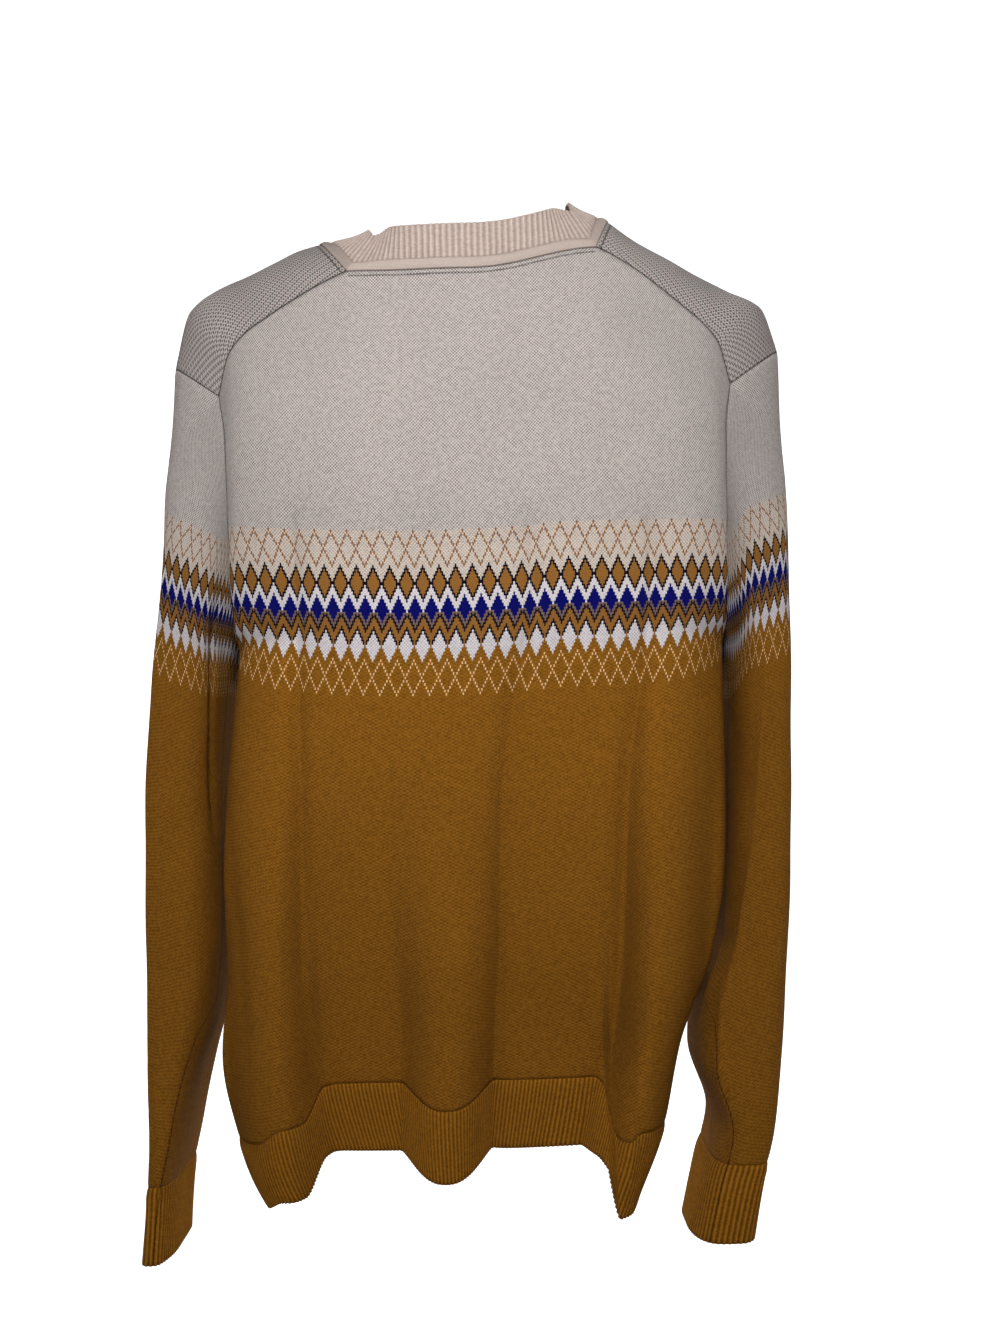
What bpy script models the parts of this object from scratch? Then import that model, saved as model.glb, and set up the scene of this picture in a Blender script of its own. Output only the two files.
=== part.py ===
"""Long-sleeved knitted crew-neck sweater, hanging hollow, seen from its back.

Metres, +Z up, +X to the right as the back is looked at, +Y the way a wearer
would face. The origin is where it is held, inside the neck at shoulder height.
Each piece is a wall through rows of points that are worked out from the sizes
below. The pieces meet 0.3 mm apart, along shared points.
"""

import math

import bpy
import numpy as np

# Cloth
WALL = 0.0024  # thickness of the knitted cloth
SEAM_GAP = 0.0003  # between two pieces that are sewn together
RIB_RISE = 0.0010  # how far a rib stands out of the cloth

# Heights of the body's edge, from the hem to the back end of the shoulder seam
HEM_Z = -0.668
RIB_TOP_Z = -0.617
UNDERARM_Z = -0.305
CORNER_Z = -0.118
LEVEL_BELOW_Z = -0.40  # rows under this height are level, higher ones bow to the shoulders

# Neck
NECK_SHARE = 0.49  # share of the half width, at the shoulder seams, that the neck takes
BACK_NECK_Z = -0.030
BACK_NECK_BOW = 0.014  # how far the middle of the back neck stands behind its ends
FRONT_NECK_Z = -0.086
NECK_LIFT = 0.013  # the neck stands higher on the +X side
BAND_HEIGHT = 0.007  # plain strip under the collar
COLLAR_HEIGHT = 0.025

# Cuffs
CUFF_HEIGHT = 0.057
CUFF_SEAM_Z = {"left": -0.690, "right": -0.684}

# Points along each piece
NECK_CELLS = 10
SHOULDER_CELLS = 9
LOW_CELLS = 12  # rows between the rib and the underarm
ARM_CELLS = 7  # rows between the underarm and the shoulder
OVER_CELLS = 6  # from the back shoulder seam, over the shoulder, to the front
SLEEVE_CELLS = 18
RIB_POINTS = 8  # outer points to a cell of a ribbed piece, two to a rib
INNER_POINTS = 2  # inner points to a cell of a ribbed piece
DENSE = 241

# The body, by height of its edge
BODY_Z = [-0.680, -0.620, -0.570, -0.520, -0.470, -0.400, -0.305]
BODY_LEFT = [-0.1600, -0.1875, -0.1985, -0.1925, -0.1935, -0.1895, -0.1800]
BODY_RIGHT = [0.1010, 0.1260, 0.1385, 0.1640, 0.1750, 0.1780, 0.1790]
BODY_SIDE_Y = [0.000, -0.008, -0.015, -0.018, -0.017, -0.008, 0.008]

BODY_SQUARE = 3.0  # 2 would make the body's level cuts ellipses, more makes them boxes

# Depth of the middle of each panel, by height
DEPTH_Z = [-0.690, -0.600, -0.520, -0.400, -0.270, -0.200, -0.120, -0.030]
BACK_DEPTH = [0.028, 0.042, 0.060, 0.080, 0.088, 0.087, 0.080, 0.060]
FRONT_DEPTH = [0.062, 0.074, 0.086, 0.100, 0.106, 0.102, 0.090, 0.070]

# The armhole, by height: distance from the middle, and depth on each side
ARM_Z = [-0.305, -0.285, -0.250, -0.200, -0.150, -0.118]
ARM_X = [0.1795, 0.179, 0.1785, 0.178, 0.179, 0.183]
ARM_BACK_Y = [0.008, -0.030, -0.052, -0.062, -0.063, -0.058]
ARM_FRONT_Y = [0.008, 0.042, 0.062, 0.070, 0.066, 0.054]

# The shoulder, by share of its half width: seam on the back, ridge, line on the front
SHOULDER_SHARE = [0.49, 0.60, 0.70, 0.80, 0.90, 0.96, 1.00]
SEAM_X = [0.0897, 0.1110, 0.1300, 0.1470, 0.1660, 0.1760, 0.1830]
SEAM_Z = [-0.0267, -0.0370, -0.0480, -0.0600, -0.0740, -0.0885, -0.1180]
SEAM_Y = [-0.045, -0.048, -0.051, -0.053, -0.056, -0.057, -0.058]
RIDGE = {
    "left": {
        "x": [0.1125, 0.1290, 0.1470, 0.1670, 0.1900, 0.2115, 0.2235],
        "z": [0.0020, -0.0025, -0.0110, -0.0205, -0.0302, -0.0465, -0.0890],
    },
    "right": {
        "x": [0.1010, 0.1230, 0.1470, 0.1670, 0.1900, 0.2140, 0.2265],
        "z": [0.0140, -0.0030, -0.0170, -0.0290, -0.0410, -0.0530, -0.0870],
    },
}
FRONT_Z = [-0.016, -0.028, -0.041, -0.054, -0.070, -0.087, -0.118]
FRONT_Y = [0.046, 0.049, 0.052, 0.054, 0.055, 0.055, 0.054]

# Folds. Columns: position at the hem, low, middle and band heights, how far they
# stand out there, how far they reach to the left and right at hem and middle, and
# how much lower the hem hangs on them. The sides hang lower too, by SIDE_SAG.
FOLD_Z = [-0.680, -0.520, -0.400, -0.270]
SAG_TOP_Z = -0.45
SAG_OVER = 0.20
SIDE_X = [
    -0.200, -0.185, -0.166, -0.150, -0.134, -0.122, -0.108, 0.074, 0.081, 0.089, 0.097, 0.105, 0.135,
]
SIDE_SAG = [
    0.047, 0.045, 0.038, 0.026, 0.024, 0.003, 0.0, 0.0, 0.005, 0.040, 0.040, 0.034, 0.040,
]
FRONT_SAG_WIDE = (0.07, 0.05)  # how far the front's sides hang lower, left and right
BACK_FOLDS = {
    "left": (-0.150, -0.158, -0.158, -0.150, 0.058, 0.030, 0.010, 0.0, 0.040, 0.034, 0.030, 0.028, 0.0),
    "middle": (-0.034, -0.028, -0.026, -0.010, 0.038, 0.020, 0.008, 0.003, 0.034, 0.034, 0.042, 0.040, 0.015),
    "right": (0.089, 0.124, 0.131, 0.140, 0.069, 0.040, 0.020, 0.004, 0.028, 0.036, 0.034, 0.036, 0.0),
}
FRONT_FOLDS = {
    "left": (-0.120, -0.125, -0.125, -0.120, 0.040, 0.022, 0.009, 0.002, 0.038, 0.036, 0.040, 0.040, 0.0),
    "middle": (-0.025, -0.015, 0.0, 0.01, 0.030, 0.018, 0.008, 0.003, 0.036, 0.040, 0.045, 0.045, 0.010),
    "right": (0.068, 0.095, 0.105, 0.11, 0.038, 0.020, 0.008, 0.002, 0.034, 0.036, 0.040, 0.042, 0.0),
}

# The sleeves, by height: outer and inner distance from the middle, near and far side
SLEEVE_Z = [-0.765, -0.700, -0.660, -0.610, -0.570, -0.520, -0.470, -0.400, -0.320, -0.200, -0.100]
SLEEVE = {
    "left": {
        "outer": [0.2595, 0.2525, 0.2495, 0.2515, 0.2515, 0.2515, 0.2505, 0.2475, 0.2385, 0.2265, 0.227],
        "inner": [0.2405, 0.2360, 0.2275, 0.2160, 0.205, 0.199, 0.197, 0.195, 0.189, 0.182, 0.181],
    },
    "right": {
        "outer": [0.186, 0.198, 0.207, 0.2145, 0.2175, 0.2205, 0.2225, 0.224, 0.224, 0.2235, 0.228],
        "inner": [0.139, 0.1555, 0.1655, 0.1525, 0.157, 0.174, 0.178, 0.182, 0.184, 0.182, 0.181],
    },
}
SLEEVE_NEAR = [-0.034, -0.036, -0.038, -0.040, -0.042, -0.044, -0.047, -0.053, -0.062, -0.065, -0.062]
SLEEVE_FAR = [0.056, 0.060, 0.068, 0.076, 0.080, 0.086, 0.089, 0.090, 0.086, 0.074, 0.064]
SLEEVE_TURN = 0.004  # the near side of a sleeve stands this much further out than its far side
SLEEVE_ROUND = 0.58  # 1 would make the sleeves' level cuts ellipses, less makes them boxes
SLEEVE_BLEND = (0.025, 0.07)  # the armhole turns into the sleeve over this height, below and above

LOOKS = {
    "beige_knit": ((0.42, 0.36, 0.32), 0.95),
    "ochre_knit": ((0.20, 0.11, 0.025), 0.95),
    "argyle_knit": ((0.30, 0.22, 0.17), 0.95),
}


def smooth(x, xs, ys):
    """A curve through the points (xs, ys) that never swings past them."""
    xs = np.asarray(xs, float)
    ys = np.asarray(ys, float)
    step = np.diff(xs)
    slope = np.diff(ys) / step
    bend = np.zeros(len(xs))
    bend[0] = slope[0]
    bend[-1] = slope[-1]
    for i in range(1, len(xs) - 1):
        if slope[i - 1] * slope[i] > 0:
            bend[i] = 2 / (1 / slope[i - 1] + 1 / slope[i])
    x = np.clip(np.asarray(x, float), xs[0], xs[-1])
    i = np.clip(np.searchsorted(xs, x) - 1, 0, len(step) - 1)
    t = (x - xs[i]) / step[i]
    rise = ys[i] * (1 + 2 * t) * (1 - t) ** 2 + ys[i + 1] * t * t * (3 - 2 * t)
    return rise + step[i] * t * (1 - t) * (bend[i] * (1 - t) - bend[i + 1] * t)


def ease(x):
    """0 to 1 as x goes from 0 to 1, level at both ends."""
    x = np.clip(x, 0, 1)
    return x * x * (3 - 2 * x)


def even(line, cells):
    """The points that divide a dense line into cells of equal length."""
    length = np.linalg.norm(np.diff(line, axis=0), axis=1)
    along = np.concatenate([[0], np.cumsum(length)])
    want = np.linspace(0, along[-1], cells + 1)
    return np.stack([np.interp(want, along, line[:, k]) for k in range(3)], axis=1)


def fold_depth(folds, x, z):
    """How far the folds of a panel stand out at x and z, and how low they hang."""
    total = np.zeros_like(x)
    sag = np.zeros_like(x)
    for row in folds.values():
        centre = smooth(z, FOLD_Z, row[0:4])
        depth = smooth(z, FOLD_Z, row[4:8])
        share = ease((z - FOLD_Z[0]) / (FOLD_Z[2] - FOLD_Z[0]))
        left = row[8] + (row[10] - row[8]) * share
        right = row[9] + (row[11] - row[9]) * share
        away = (x - centre) / np.where(x < centre, left, right)
        profile = (1 - np.clip(np.abs(away), 0, 1) ** 2.4) ** 1.6
        total = total + depth * profile
        sag = sag + row[12] * profile * ease((SAG_TOP_Z - z) / SAG_OVER)
    return total, sag


def neck_lift(share):
    """How much higher the +X side of the neck stands, across the half widths."""
    return NECK_LIFT * ease(share / NECK_SHARE) * (1 - ease((share - NECK_SHARE) / 0.45))


def top_edge(side, share):
    """Height and depth of a panel's top edge, across its half widths."""
    size = np.abs(share)
    in_neck = np.clip(size / NECK_SHARE, 0, 1)
    if side == "back":
        z = smooth(size, SHOULDER_SHARE, SEAM_Z)
        neck = BACK_NECK_Z + (SEAM_Z[0] - BACK_NECK_Z) * in_neck**2
        y = smooth(size, SHOULDER_SHARE, SEAM_Y) - BACK_NECK_BOW * (1 - in_neck**2)
    else:
        z = smooth(size, SHOULDER_SHARE, FRONT_Z)
        neck = FRONT_NECK_Z + (FRONT_Z[0] - FRONT_NECK_Z) * in_neck**2.6
        y = smooth(size, SHOULDER_SHARE, FRONT_Y)
        y = np.where(size < NECK_SHARE, FRONT_Y[0] + 0.030 * (1 - in_neck**2.2), y)
    z = np.where(size < NECK_SHARE, neck, z)
    return z + neck_lift(share) * (1.0 if side == "back" else 0.6 * in_neck), y


def panel_row(side, edge_z):
    """One row of points across a panel, from its left edge to its right edge."""
    turn = np.linspace(-math.pi / 2, math.pi / 2, DENSE)
    low = edge_z <= UNDERARM_Z
    square = BODY_SQUARE if low else BODY_SQUARE - 0.4 * ease((edge_z - UNDERARM_Z) / 0.1)
    share = np.sign(np.sin(turn)) * np.abs(np.sin(turn)) ** (2 / square)
    bulge = np.abs(np.cos(turn)) ** (2 / square)
    free = (1 - np.abs(share) ** 2.5) ** 0.2
    if low:
        left = smooth(edge_z, BODY_Z, BODY_LEFT)
        right = smooth(edge_z, BODY_Z, BODY_RIGHT)
        edge_y = smooth(edge_z, BODY_Z, BODY_SIDE_Y)
    else:
        right = smooth(edge_z, ARM_Z, ARM_X)
        left = -right
        edge_y = smooth(edge_z, ARM_Z, ARM_BACK_Y if side == "back" else ARM_FRONT_Y)
    x = (left + right) / 2 + (right - left) / 2 * share
    bow = np.clip((edge_z - LEVEL_BELOW_Z) / (CORNER_Z - LEVEL_BELOW_Z), 0, 1) ** 1.6
    top_z, top_y = top_edge(side, share)
    z = edge_z + (top_z - CORNER_Z) * bow
    sign = -1 if side == "back" else 1
    depth = smooth(z, DEPTH_Z, BACK_DEPTH if side == "back" else FRONT_DEPTH)
    y = edge_y + (sign * depth - edge_y) * bulge
    under = np.clip((top_z - z) / 0.09, 0, 1)
    y = top_y + (y - top_y) * np.sin(under * math.pi / 2)
    fold, sag = fold_depth(BACK_FOLDS if side == "back" else FRONT_FOLDS, x, z)
    y = y + sign * fold * free
    if side == "back":
        low_side = smooth(x, SIDE_X, SIDE_SAG)
    else:
        low_side = smooth(left, SIDE_X, SIDE_SAG) * ease(1 - (x - left) / FRONT_SAG_WIDE[0])
        low_side = low_side + smooth(right, SIDE_X, SIDE_SAG) * ease(1 - (right - x) / FRONT_SAG_WIDE[1])
    z = z - sag * free - low_side * ease((SAG_TOP_Z - z) / SAG_OVER)
    line = np.stack([x, y, z], axis=1)
    a = int(np.argmin(np.abs(share + NECK_SHARE)))
    b = int(np.argmin(np.abs(share - NECK_SHARE)))
    parts = [
        even(line[: a + 1], SHOULDER_CELLS),
        even(line[a : b + 1], NECK_CELLS)[1:],
        even(line[b:], SHOULDER_CELLS)[1:],
    ]
    return np.concatenate(parts)


def over_shoulder(which, seam, front):
    """Rows from the back shoulder seam, over the ridge, to the front line."""
    # The ridge's points match the seam's by their distance from the middle.
    share = np.interp(np.abs(seam[:, 0]), SEAM_X, SHOULDER_SHARE)
    sign = -1 if which == "left" else 1
    ridge_x = smooth(share, SHOULDER_SHARE, RIDGE[which]["x"])
    ridge_z = smooth(share, SHOULDER_SHARE, RIDGE[which]["z"])
    start = math.radians(20)
    rows = []
    for i in range(OVER_CELLS + 1):
        angle = start + (math.pi - 2 * start) * i / OVER_CELLS
        base = seam if angle <= math.pi / 2 else front
        up = (math.sin(angle) - math.sin(start)) / (1 - math.sin(start))
        out = abs(math.cos(angle)) / math.cos(start)
        x = base[:, 0] + (sign * ridge_x - base[:, 0]) * up
        y = base[:, 1] * out
        z = base[:, 2] + (ridge_z - base[:, 2]) * up
        rows.append(np.stack([x, y, z], axis=1))
    return np.array(rows)


def sleeve_rows(which, loop, end_z, cells, start_z=None):
    """Rings of a sleeve, from the armhole loop down to end_z."""
    sign = -1 if which == "left" else 1
    size = SLEEVE[which]
    length = np.linalg.norm(np.roll(loop, -1, axis=0) - loop, axis=1)
    along = np.concatenate([[0], np.cumsum(length)])
    share = along[:-1] / along[-1]
    turn = np.linspace(0, 2 * math.pi, 721)
    rows = []
    for k in range(cells + 1):
        t = k / cells
        if start_z is None:
            z = loop[:, 2] + (end_z - loop[:, 2]) * t
        else:
            z = np.full(len(loop), start_z + (end_z - start_z) * t)
        even_share = np.arange(len(loop)) / len(loop)
        place = share + (even_share - share) * (1 if start_z is not None else ease(t * 2))
        points = []
        for i in range(len(loop)):
            outer = smooth(z[i], SLEEVE_Z, size["outer"])
            inner = smooth(z[i], SLEEVE_Z, size["inner"])
            near = smooth(z[i], SLEEVE_Z, SLEEVE_NEAR)
            far = smooth(z[i], SLEEVE_Z, SLEEVE_FAR)
            c = np.cos(turn)
            s = np.sin(turn)
            ring_x = (outer + inner) / 2 - (outer - inner) / 2 * np.sign(c) * np.abs(c) ** SLEEVE_ROUND
            ring_x = ring_x + SLEEVE_TURN * s
            ring_y = (near + far) / 2 - (far - near) / 2 * np.sign(s) * np.abs(s) ** SLEEVE_ROUND
            step = np.hypot(np.diff(ring_x), np.diff(ring_y))
            way = np.concatenate([[0], np.cumsum(step)])
            at = place[i] * way[-1]
            x = sign * np.interp(at, way, ring_x)
            y = np.interp(at, way, ring_y)
            blend = 1.0
            if start_z is None:
                high = ease((loop[i, 2] - UNDERARM_Z) / 0.1)
                over = SLEEVE_BLEND[0] + (SLEEVE_BLEND[1] - SLEEVE_BLEND[0]) * high
                blend = math.sin(min((loop[i, 2] - z[i]) / over, 1) * math.pi / 2)
            x = loop[i, 0] + (x - loop[i, 0]) * blend
            y = loop[i, 1] + (y - loop[i, 1]) * blend
            points.append((x, y, z[i]))
        rows.append(points)
    return np.array(rows)


def collar_rows(loop, heights):
    """Rings that stand on the neck loop, at the given distances from it. They stand up
    at the back, and lean inward over the shoulders and at the front."""
    x, y, _ = loop.T
    corner = 0.45 * ease((np.abs(x) - 0.045) / 0.045)
    side = corner + 0.55 * (1 - np.clip(np.abs(y) / 0.045, 0, 1) ** 2)
    front = np.clip(y / 0.07, 0, 1) * (1 - side)
    side_up = 0.20 + 0.34 * (x > 0)
    lean = -np.sign(x) * 0.95 * side
    up = np.stack([lean, 0.12 - 0.75 * front, 1 - (1 - side_up) * side], axis=1)
    up = up / np.linalg.norm(up, axis=1)[:, None]
    return np.array([loop + up * h for h in heights])


def key(point):
    return tuple(int(round(v * 1e7)) for v in point)


def cells_of(grid, closed):
    """The cells of a grid of points as quads of points."""
    rows, columns = grid.shape[:2]
    last = columns if closed else columns - 1
    for r in range(rows - 1):
        for c in range(last):
            d = (c + 1) % columns
            yield grid[r, c], grid[r, d], grid[r + 1, d], grid[r + 1, c]


def unit(v):
    return v / np.linalg.norm(v)


def group_normals(pieces):
    """The normals at the points of some pieces, which agree where the pieces meet."""
    total = {}
    for grids in pieces:
        for grid, closed in grids:
            for quad in cells_of(grid, closed):
                normal = np.cross(quad[2] - quad[0], quad[3] - quad[1])
                for p in quad:
                    total[key(p)] = total.get(key(p), 0) + normal
    return {k: unit(v) for k, v in total.items()}


def outer_and_inner(grids, total):
    """Numbered points of a piece, outside and inside, with its open edges drawn in by half the gap."""
    number = {}
    points = []
    quads = []
    for grid, closed in grids:
        for quad in cells_of(grid, closed):
            for p in quad:
                if key(p) not in number:
                    number[key(p)] = len(points)
                    points.append(np.array(p))
            quads.append([number[key(p)] for p in quad])
    normals = [unit(total[k]) for k in number]
    ways = {}
    for quad in quads:
        for a, b in zip(quad, quad[1:] + quad[:1]):
            ways[(a, b)] = True
    rim = [(a, b) for a, b in ways if (b, a) not in ways]
    draw = {}
    for a, b in rim:
        inward = unit(np.cross(normals[a], points[b] - points[a]))
        draw[a] = draw.get(a, 0) + inward
        draw[b] = draw.get(b, 0) + inward
    outer = np.array(points)
    inner = outer - WALL * np.array(normals)
    for i, way in draw.items():
        move = unit(way) * SEAM_GAP / 2
        outer[i] = outer[i] + move
        inner[i] = inner[i] + move
    return outer, inner, np.array(normals), quads, rim, number


def make(name, points, faces, look):
    mesh = bpy.data.meshes.new(name)
    mesh.from_pydata([tuple(p) for p in points], [], faces)
    mesh.validate()
    mesh.update()
    part = bpy.data.objects.new(name, mesh)
    bpy.context.collection.objects.link(part)
    material = bpy.data.materials.get(name) or bpy.data.materials.new(name)
    material.use_nodes = True
    shader = material.node_tree.nodes["Principled BSDF"]
    colour, rough = LOOKS[look]
    shader.inputs["Base Color"].default_value = (*colour, 1)
    shader.inputs["Roughness"].default_value = rough
    shader.inputs["Metallic"].default_value = 0.0
    mesh.materials.append(material)
    mesh.shade_smooth()
    mesh.set_sharp_from_angle(angle=math.radians(50))
    return part


def make_wall(name, grids, total, look):
    """A plain wall: the cells outside, the same cells inside, and its rims."""
    outer, inner, _, quads, rim, _ = outer_and_inner(grids, total)
    n = len(outer)
    faces = []
    for a, b, c, d in quads:
        faces += [(a, b, c), (a, c, d)]
        faces += [(n + c, n + b, n + a), (n + d, n + c, n + a)]
    for a, b in rim:
        faces += [(b, a, n + a), (b, n + a, n + b)]
    return make(name, np.concatenate([outer, inner]), faces, look)


def make_ribs(name, grids, total, look):
    """A ribbed wall: each cell is split into ribs outside, and left plain inside."""
    grid, closed = grids[0]
    outer, inner, normals, _, _, number = outer_and_inner(grids, total)
    rows, columns = grid.shape[:2]
    index = np.array([[number[key(p)] for p in row] for row in grid])
    cells = columns if closed else columns - 1
    step = RIB_POINTS // INNER_POINTS
    wide = cells * RIB_POINTS + (0 if closed else 1)
    plain = cells * INNER_POINTS + (0 if closed else 1)
    points = []
    for r in range(rows):
        for j in range(wide):
            c, k = divmod(j, RIB_POINTS)
            a = index[r, c]
            b = index[r, (c + 1) % columns] if k else a
            t = k / RIB_POINTS
            way = unit(normals[a] * (1 - t) + normals[b] * t)
            points.append(outer[a] * (1 - t) + outer[b] * t + way * RIB_RISE * (k % 2))
    base = len(points)
    for r in range(rows):
        for j in range(plain):
            c, k = divmod(j, INNER_POINTS)
            a = index[r, c]
            b = index[r, (c + 1) % columns] if k else a
            t = k / INNER_POINTS
            points.append(inner[a] * (1 - t) + inner[b] * t)
    faces = []
    for r in range(rows - 1):
        for j in range(cells * RIB_POINTS):
            a = r * wide + j
            b = r * wide + (j + 1) % wide
            faces += [(a, b, b + wide), (a, b + wide, a + wide)]
        for j in range(cells * INNER_POINTS):
            a = base + r * plain + j
            b = base + r * plain + (j + 1) % plain
            faces += [(b + plain, b, a), (a + plain, b + plain, a)]
    for r, flip in ((0, False), (rows - 1, True)):
        rim = []
        for j in range(cells * INNER_POINTS):
            a = base + r * plain + j
            b = base + r * plain + (j + 1) % plain
            for k in range(step):
                p = r * wide + j * step + k
                q = r * wide + (j * step + k + 1) % wide
                rim.append((q, p, a if k < step // 2 else b))
            rim.append((r * wide + j * step + step // 2, a, b))
        faces += [face[::-1] if flip else face for face in rim]
    if not closed:
        for j, i, flip in ((0, 0, False), (wide - 1, plain - 1, True)):
            for r in range(rows - 1):
                a, b = r * wide + j, (r + 1) * wide + j
                s, t = base + r * plain + i, base + (r + 1) * plain + i
                for face in ((a, b, t), (a, t, s)):
                    faces.append(face[::-1] if flip else face)
    return make(name, points, faces, look)


def body_heights():
    low = np.linspace(RIB_TOP_Z, UNDERARM_Z, LOW_CELLS + 1)
    high = np.linspace(UNDERARM_Z, CORNER_Z, ARM_CELLS + 1)
    return np.concatenate([low, high[1:]])


def main():
    for old in list(bpy.data.objects):
        bpy.data.objects.remove(old, do_unlink=True)
    rib_heights = np.linspace(HEM_Z, RIB_TOP_Z, 3)
    # Rows run from the hem up. The front's rows run from right to left, so that
    # both panels' cells face out.
    back = np.array([panel_row("back", z) for z in body_heights()])
    front = np.array([panel_row("front", z)[::-1] for z in body_heights()])
    back_rib = np.array([panel_row("back", z) for z in rib_heights])
    front_rib = np.array([panel_row("front", z)[::-1] for z in rib_heights])
    s = SHOULDER_CELLS
    under = LOW_CELLS
    left_seam = back[-1, : s + 1]
    right_seam = back[-1, -(s + 1) :]
    left_front = front[-1, ::-1][: s + 1]
    right_front = front[-1, ::-1][-(s + 1) :]
    left_over = over_shoulder("left", left_seam, left_front)
    right_over = over_shoulder("right", right_seam, right_front)
    # The armhole loops start at the underarm and go up the back.
    left_loop = np.concatenate(
        [back[under:, 0], left_over[1:, 0], front[under:-1, -1][::-1][:-1]]
    )
    right_loop = np.concatenate(
        [back[under:, -1], right_over[1:, -1], front[under:-1, 0][::-1][:-1]]
    )
    loops = {"left": left_loop, "right": right_loop}
    neck = np.concatenate(
        [
            back[-1, s : s + NECK_CELLS + 1],
            right_over[1:, 0],
            front[-1, s : s + NECK_CELLS + 1][1:],
            left_over[1:-1, -1][::-1],
        ]
    )
    rib_heights_up = BAND_HEIGHT + COLLAR_HEIGHT * np.array([0, 0.5, 1])
    pieces = {
        "back_panel": [(back, False)],
        "front_panel": [
            (front, False),
            (left_over, False),
            (right_over, False),
        ],
        "hem_rib_back": [(back_rib, False)],
        "hem_rib_front": [(front_rib, False)],
        "collar_band": [(collar_rows(neck, [0, BAND_HEIGHT]), True)],
        "collar_rib": [(collar_rows(neck, rib_heights_up), True)],
    }
    for which, loop in loops.items():
        end = CUFF_SEAM_Z[which]
        tube = sleeve_rows(which, loop, end, SLEEVE_CELLS)
        cuff = sleeve_rows(which, loop, end - CUFF_HEIGHT, 2, start_z=end)
        tube[-1] = cuff[0]
        if which == "right":
            tube, cuff = tube[::-1], cuff[::-1]
        pieces["sleeve_" + which] = [(tube, True)]
        pieces["cuff_" + which] = [(cuff, True)]
    total = {}
    for names in (
        ("back_panel", "front_panel", "hem_rib_back", "hem_rib_front"),
        ("collar_band", "collar_rib"),
        ("sleeve_left", "cuff_left"),
        ("sleeve_right", "cuff_right"),
    ):
        for k, normal in group_normals([pieces[name] for name in names]).items():
            total[k] = total.get(k, 0) + normal
    looks = {
        "back_panel": "argyle_knit",
        "front_panel": "argyle_knit",
        "sleeve_left": "argyle_knit",
        "sleeve_right": "argyle_knit",
        "hem_rib_back": "ochre_knit",
        "hem_rib_front": "ochre_knit",
        "cuff_left": "ochre_knit",
        "cuff_right": "ochre_knit",
        "collar_rib": "beige_knit",
        "collar_band": "beige_knit",
    }
    for name, grids in pieces.items():
        ribbed = "rib" in name or "cuff" in name
        (make_ribs if ribbed else make_wall)(name, grids, total, looks[name])


main()
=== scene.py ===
"""The looks of the knitted sweater: fine cloth shells on the solids' own form,
with creases, ribs, seams and a knitted chart made of shader nodes."""

import math

import bmesh
import bpy
import numpy as np
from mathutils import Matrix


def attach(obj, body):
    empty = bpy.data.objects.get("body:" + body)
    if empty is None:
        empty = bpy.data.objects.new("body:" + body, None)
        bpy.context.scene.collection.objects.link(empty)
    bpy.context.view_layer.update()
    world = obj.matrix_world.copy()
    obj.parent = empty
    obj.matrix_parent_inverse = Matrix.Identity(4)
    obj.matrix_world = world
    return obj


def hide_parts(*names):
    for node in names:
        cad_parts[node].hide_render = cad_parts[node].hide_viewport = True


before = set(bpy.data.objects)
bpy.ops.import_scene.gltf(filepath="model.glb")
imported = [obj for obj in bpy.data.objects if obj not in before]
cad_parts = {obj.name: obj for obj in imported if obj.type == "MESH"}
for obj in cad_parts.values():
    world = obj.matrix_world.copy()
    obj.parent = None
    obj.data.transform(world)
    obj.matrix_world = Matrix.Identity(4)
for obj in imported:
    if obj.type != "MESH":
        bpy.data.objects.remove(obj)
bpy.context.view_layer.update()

# ---------------------------------------------------------------- sizes, as in the solids
# Heights of the body's edge, from the hem to the back end of the shoulder seam
HEM_Z = -0.668
RIB_TOP_Z = -0.617
UNDERARM_Z = -0.305
CORNER_Z = -0.118
LEVEL_BELOW_Z = -0.40  # rows under this height are level, higher ones bow to the shoulders

# Neck and cuffs
NECK_SHARE = 0.49  # share of the half width, at the shoulder seams, that the neck takes
BACK_NECK_Z = -0.030
BACK_NECK_BOW = 0.014  # how far the middle of the back neck stands behind its ends
FRONT_NECK_Z = -0.086
NECK_LIFT = 0.013  # the neck stands higher on the +X side
BAND_HEIGHT = 0.007  # plain strip under the collar
COLLAR_HEIGHT = 0.025
CUFF_HEIGHT = 0.057
CUFF_SEAM_Z = {"left": -0.690, "right": -0.684}

# The body, by height of its edge
BODY_SQUARE = 3.0  # 2 would make the body's level cuts ellipses, more makes them boxes
BODY_Z = [-0.680, -0.620, -0.570, -0.520, -0.470, -0.400, -0.305]
BODY_LEFT = [-0.1600, -0.1875, -0.1985, -0.1925, -0.1935, -0.1895, -0.1800]
BODY_RIGHT = [0.1010, 0.1260, 0.1385, 0.1640, 0.1750, 0.1780, 0.1790]
BODY_SIDE_Y = [0.000, -0.008, -0.015, -0.018, -0.017, -0.008, 0.008]
# Depth of the middle of each panel, by height
DEPTH_Z = [-0.690, -0.600, -0.520, -0.400, -0.270, -0.200, -0.120, -0.030]
BACK_DEPTH = [0.028, 0.042, 0.060, 0.080, 0.088, 0.087, 0.080, 0.060]
FRONT_DEPTH = [0.062, 0.074, 0.086, 0.100, 0.106, 0.102, 0.090, 0.070]
# The armholes, by height of the body's edge
ARM_Z = [-0.305, -0.285, -0.250, -0.200, -0.150, -0.118]
ARM_X = [0.1795, 0.179, 0.1785, 0.178, 0.179, 0.183]
ARM_BACK_Y = [0.008, -0.030, -0.052, -0.062, -0.063, -0.058]
ARM_FRONT_Y = [0.008, 0.042, 0.062, 0.070, 0.066, 0.054]
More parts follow.
